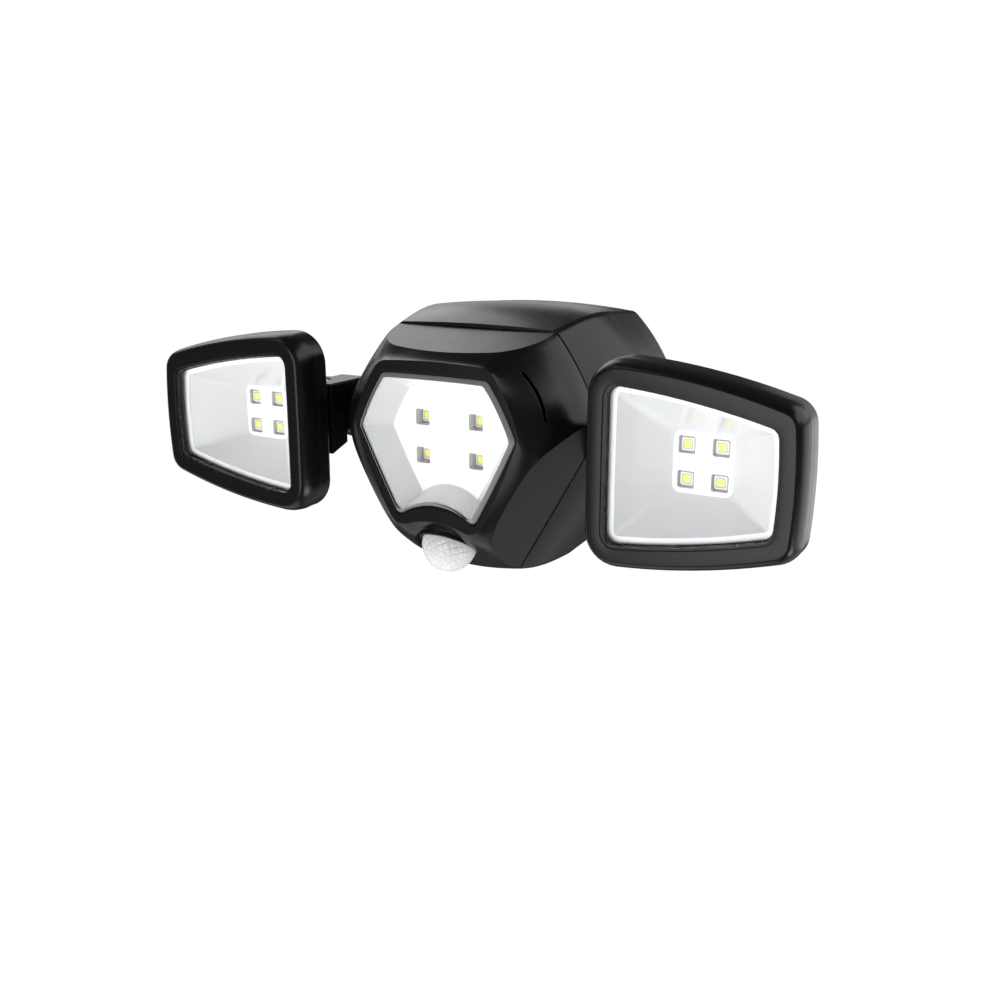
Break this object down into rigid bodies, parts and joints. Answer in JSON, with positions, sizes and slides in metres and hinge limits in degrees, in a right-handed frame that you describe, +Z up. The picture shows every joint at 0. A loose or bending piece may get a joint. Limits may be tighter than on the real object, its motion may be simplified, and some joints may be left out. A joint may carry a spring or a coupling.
{
  "type": "motion sensor security light",
  "caption": "Wall light with a motion sensor: a six-sided body with a fixed centre lamp and two lamp heads on tilting and turning arms.",
  "frame": {"origin": "on the flat back of the wall bracket, on the middle plane, level with the centres of the lamp windows", "axes": "+X to the right seen from the front, +Y into the wall, so the front looks along -Y, +Z up"},
  "size_m": [0.313, 0.104, 0.1231],
  "materials": {
    "satin_black": "satin moulded plastic",
    "dark_plastic": "fine matte moulded plastic",
    "clear_lens": "clear polished plastic",
    "white_reflector": "glossy white with a fine stipple",
    "dome_plastic": "translucent white",
    "led_package": "white",
    "phosphor": "soft yellow",
    "circuit_board": "white solder mask",
    "white_plastic": "slippery white plastic",
    "rubber": "soft matte",
    "steel": "plated",
    "cell_jacket": "plain printed-film jacket with no print"
  },
  "bodies": {
    "light_body": {"front_cover": "satin_black", "center_lens_gasket": "rubber", "center_lens": "clear_lens", "center_reflector": "white_reflector", "center_led_board": "circuit_board", "center_leds": "led_package", "center_phosphors": "phosphor", "pir_lens": "dome_plastic", "pir_retainer": "dark_plastic", "pir_board": "circuit_board", "pir_sensor": "steel", "housing": "satin_black", "mode_switch": "dark_plastic", "battery_tray": "dark_plastic", "batteries": "cell_jacket", "battery_contacts": "steel", "battery_springs": "steel", "control_board": "circuit_board", "control_parts": "dark_plastic", "rear_cover": "satin_black", "rear_cover_seal": "rubber", "wall_bracket": "satin_black", "front_cover_screws": "steel", "rear_cover_screws": "steel"},
    "mode_switch_slider": {"mode_switch_knob": "dark_plastic"},
    "right_arm_body": {"right_arm": "satin_black", "right_swivel_washer": "white_plastic", "right_swivel_spring": "steel", "right_swivel_cap": "satin_black", "right_swivel_screw": "steel", "right_pan_pin": "steel", "right_pan_washers": "white_plastic"},
    "right_head_body": {"right_head_shell": "satin_black", "right_head_bezel": "satin_black", "right_head_gasket": "rubber", "right_head_lens": "clear_lens", "right_head_reflector": "white_reflector", "right_head_board": "circuit_board", "right_head_leds": "led_package", "right_head_phosphors": "phosphor", "right_head_screws": "steel"},
    "left_arm_body": {"left_arm": "satin_black", "left_swivel_washer": "white_plastic", "left_swivel_spring": "steel", "left_swivel_cap": "satin_black", "left_swivel_screw": "steel", "left_pan_pin": "steel", "left_pan_washers": "white_plastic"},
    "left_head_body": {"left_head_shell": "satin_black", "left_head_bezel": "satin_black", "left_head_gasket": "rubber", "left_head_lens": "clear_lens", "left_head_reflector": "white_reflector", "left_head_board": "circuit_board", "left_head_leds": "led_package", "left_head_phosphors": "phosphor", "left_head_screws": "steel"}
  },
  "joints": [
    {"name": "right_arm_tilt", "type": "hinge", "parent": "light_body", "child": "right_arm_body", "pos_m": [0.0742, -0.061, -0.002], "axis": [1, 0, 0], "range_deg": [-45, 75]},
    {"name": "right_head_pan", "type": "hinge", "parent": "right_arm_body", "child": "right_head_body", "pos_m": [0.0835, -0.0715, 0.0005], "axis": [0, 0, 1], "range_deg": [-8, 60]},
    {"name": "left_arm_tilt", "type": "hinge", "parent": "light_body", "child": "left_arm_body", "pos_m": [-0.0742, -0.061, -0.002], "axis": [1, 0, 0], "range_deg": [-45, 75]},
    {"name": "left_head_pan", "type": "hinge", "parent": "left_arm_body", "child": "left_head_body", "pos_m": [-0.0835, -0.0715, 0.0005], "axis": [0, 0, -1], "range_deg": [-8, 60]},
    {"name": "mode_switch_slide", "type": "slide", "parent": "light_body", "child": "mode_switch_slider", "axis": [1, 0, 0], "range_m": [-0.003, 0.003]}
  ]
}
